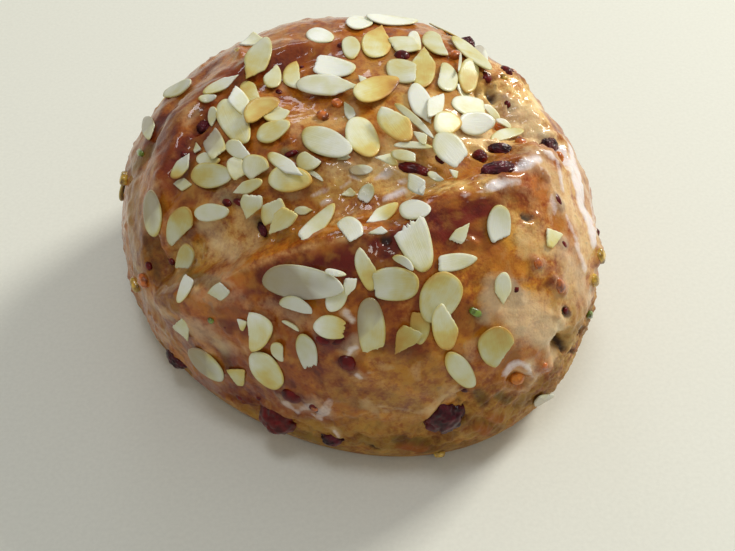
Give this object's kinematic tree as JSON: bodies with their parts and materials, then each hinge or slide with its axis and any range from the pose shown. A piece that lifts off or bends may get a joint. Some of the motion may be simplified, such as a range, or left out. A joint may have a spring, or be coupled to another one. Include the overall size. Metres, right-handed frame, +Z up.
{
  "type": "easter bread",
  "caption": "Round domed sweet loaf, slashed across the top, glazed, and covered with flaked almonds, raisins and cranberries.",
  "frame": {"origin": "middle of the flat foot that the loaf rests on", "axes": "+Z up, +X to the right and +Y away from the side with the long lip of the cut"},
  "size_m": [0.1714, 0.172, 0.0974],
  "materials": {
    "crust": "glazed golden to dark brown crust with pale almond flakes",
    "raisin": "dark, wrinkled and glazed",
    "cranberry": "dark red, glazed",
    "nut": "brown, glazed"
  },
  "bodies": {
    "root": {"loaf": "crust", "raisin_front": "raisin", "cranberry_front_left": "cranberry", "raisin_front_foot": "raisin", "raisin_left_foot": "raisin", "raisin_left_fold": "raisin", "raisin_open_crumb": "raisin", "cranberry_middle": "cranberry", "cranberry_right": "cranberry", "raisin_right_front": "raisin", "raisin_right_back": "raisin", "raisin_right_edge": "raisin", "nut_right_edge": "nut", "raisin_back": "raisin", "nut_front_right": "nut"}
  },
  "joints": []
}
